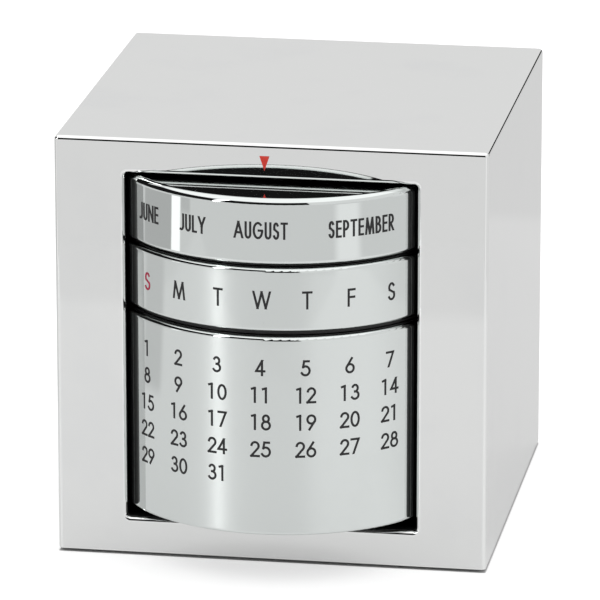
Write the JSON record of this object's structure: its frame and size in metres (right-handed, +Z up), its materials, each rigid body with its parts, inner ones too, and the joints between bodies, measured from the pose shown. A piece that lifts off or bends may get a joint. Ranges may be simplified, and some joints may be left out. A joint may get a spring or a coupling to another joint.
{
  "type": "perpetual desk calendar",
  "caption": "Cube-shaped perpetual desk calendar: month ring, weekday ring and date drum turn on one upright spindle and stand out of a window in a polished chrome case.",
  "frame": {"origin": "centre of the underside of the base pad, on the surface that the calendar stands on", "axes": "+Z up along the rings' spindle, -Y out of the window towards the reader, +X to the reader's right"},
  "size_m": [0.0706, 0.0806, 0.0705],
  "materials": {
    "chrome": "polished mirror plating",
    "black_moulding": "fine-textured black",
    "steel": "turned bright steel",
    "rubber": "matte black, finely stippled",
    "nylon": "natural nylon",
    "red_enamel": "glossy enamel",
    "black_ink": "screen-printed lettering",
    "crimson_ink": "screen-printed lettering"
  },
  "bodies": {
    "case": {"case_shell": "chrome", "month_pointer": "red_enamel", "drum_frame": "black_moulding", "frame_top_plate": "black_moulding", "top_plate_screws": "steel", "base_plate": "black_moulding", "base_screws": "steel", "base_pad": "rubber", "spindle": "steel", "spring_washer": "steel", "thrust_washer_lower": "nylon", "thrust_washer_upper": "nylon", "spacer_disc_lower": "black_moulding", "spacer_disc_upper": "black_moulding"},
    "month_ring": {"month_shell": "chrome", "month_hub": "black_moulding"},
    "weekday_ring": {"weekday_shell": "chrome", "weekday_hub": "black_moulding"},
    "date_drum": {"date_shell": "chrome", "date_hub": "black_moulding", "date_end_cap": "black_moulding"}
  },
  "joints": [
    {"name": "month_turn", "type": "hinge", "parent": "case", "child": "month_ring", "pos_m": [0, -0.0172, 0.0589], "axis": [0, 0, 1], "continuous": true},
    {"name": "weekday_turn", "type": "hinge", "parent": "case", "child": "weekday_ring", "pos_m": [0, -0.0172, 0.0478], "axis": [0, 0, 1], "continuous": true},
    {"name": "date_turn", "type": "hinge", "parent": "case", "child": "date_drum", "pos_m": [0, -0.0172, 0.02495], "axis": [0, 0, 1], "continuous": true}
  ]
}
